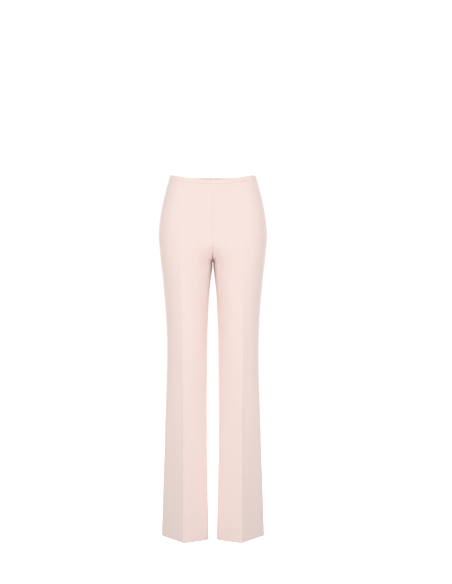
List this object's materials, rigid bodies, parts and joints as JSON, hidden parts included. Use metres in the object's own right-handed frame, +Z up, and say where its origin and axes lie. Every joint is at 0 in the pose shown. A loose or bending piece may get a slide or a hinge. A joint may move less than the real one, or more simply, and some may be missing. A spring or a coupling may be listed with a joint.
{
  "type": "flared palazzo pants",
  "caption": "Long flared palazzo pants in smooth crepe, close at the hips, with pressed centre creases, a narrow waistband and a concealed centre back zip.",
  "frame": {"origin": "middle of the waist opening, level with the top edge at the side seams", "axes": "+Z up, the wearer faces -Y and the wearer's left is +X"},
  "size_m": [0.333, 0.243, 1.112],
  "materials": {
    "crepe": "smooth matt crepe with a faint sheen",
    "zip_tape": "woven tape",
    "zip_enamel": "satin enamel"
  },
  "bodies": {
    "garment": {"front_left": "crepe", "front_right": "crepe", "back_left": "crepe", "back_right": "crepe", "waistband_front": "crepe", "waistband_back_left": "crepe", "waistband_back_right": "crepe", "zip_tape_left": "zip_tape", "zip_tape_right": "zip_tape", "zip_slider": "zip_enamel"},
    "zip_pull": {"zip_pull": "zip_enamel"}
  },
  "joints": [
    {"name": "zip_pull_hinge", "type": "hinge", "parent": "garment", "child": "zip_pull", "pos_m": [0, 0.10112, -0.00667], "axis": [1, 0, 0], "range_deg": [0, 165]}
  ]
}
